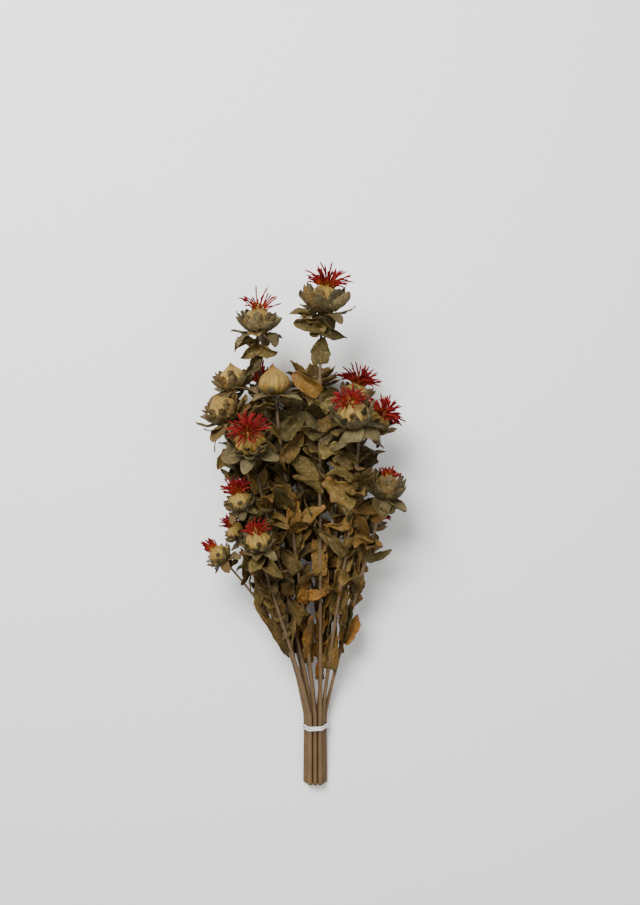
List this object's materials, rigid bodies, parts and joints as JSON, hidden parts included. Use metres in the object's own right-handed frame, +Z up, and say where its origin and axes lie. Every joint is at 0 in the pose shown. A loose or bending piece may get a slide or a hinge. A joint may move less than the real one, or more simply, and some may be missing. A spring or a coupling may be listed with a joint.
{
  "type": "dried safflower bunch",
  "caption": "Bunch of dried safflower stems with leaves, closed and open heads and crimson florets, gathered in an elastic band and lying on its side",
  "frame": {"origin": "middle of the footprint, on the surface that the bunch lies on", "axes": "+Y along the bunch from the cut ends to the heads, +X to the right seen from above with the heads away, +Z up"},
  "size_m": [0.2114, 0.5382, 0.1487],
  "materials": {
    "stem": "dry, matt, finely ridged; the leaves on it olive brown to orange brown",
    "bud": "dry papery scales, tan yellow, matt",
    "bracts": "dry leafy bracts, grey olive, veined, matt",
    "florets": "dry crimson threads, orange at their feet",
    "band": "translucent white, satin"
  },
  "bodies": {
    "root": {"stem_01": "stem", "stem_02": "stem", "stem_03": "stem", "stem_04": "stem", "stem_05": "stem", "stem_06": "stem", "stem_07": "stem", "stem_08": "stem", "stem_09": "stem", "stem_10": "stem", "stem_11": "stem", "stem_12": "stem", "bud_01": "bud", "bud_02": "bud", "bud_03": "bud", "bud_04": "bud", "bud_05": "bud", "bud_06": "bud", "bud_07": "bud", "bud_08": "bud", "bud_09": "bud", "bud_10": "bud", "bud_11": "bud", "bud_12": "bud", "bud_13": "bud", "bud_14": "bud", "bud_15": "bud", "bud_16": "bud", "bud_17": "bud", "bracts_01": "bracts", "bracts_02": "bracts", "bracts_03": "bracts", "bracts_04": "bracts", "bracts_05": "bracts", "bracts_06": "bracts", "bracts_07": "bracts", "bracts_08": "bracts", "bracts_09": "bracts", "bracts_10": "bracts", "bracts_11": "bracts", "bracts_12": "bracts", "bracts_13": "bracts", "bracts_14": "bracts", "bracts_15": "bracts", "bracts_16": "bracts", "bracts_17": "bracts", "florets_01": "florets", "florets_02": "florets", "florets_06": "florets", "florets_08": "florets", "florets_09": "florets", "florets_10": "florets", "florets_11": "florets", "florets_12": "florets", "florets_13": "florets", "florets_14": "florets", "florets_15": "florets", "florets_16": "florets", "florets_17": "florets", "elastic_band": "band"}
  },
  "joints": []
}
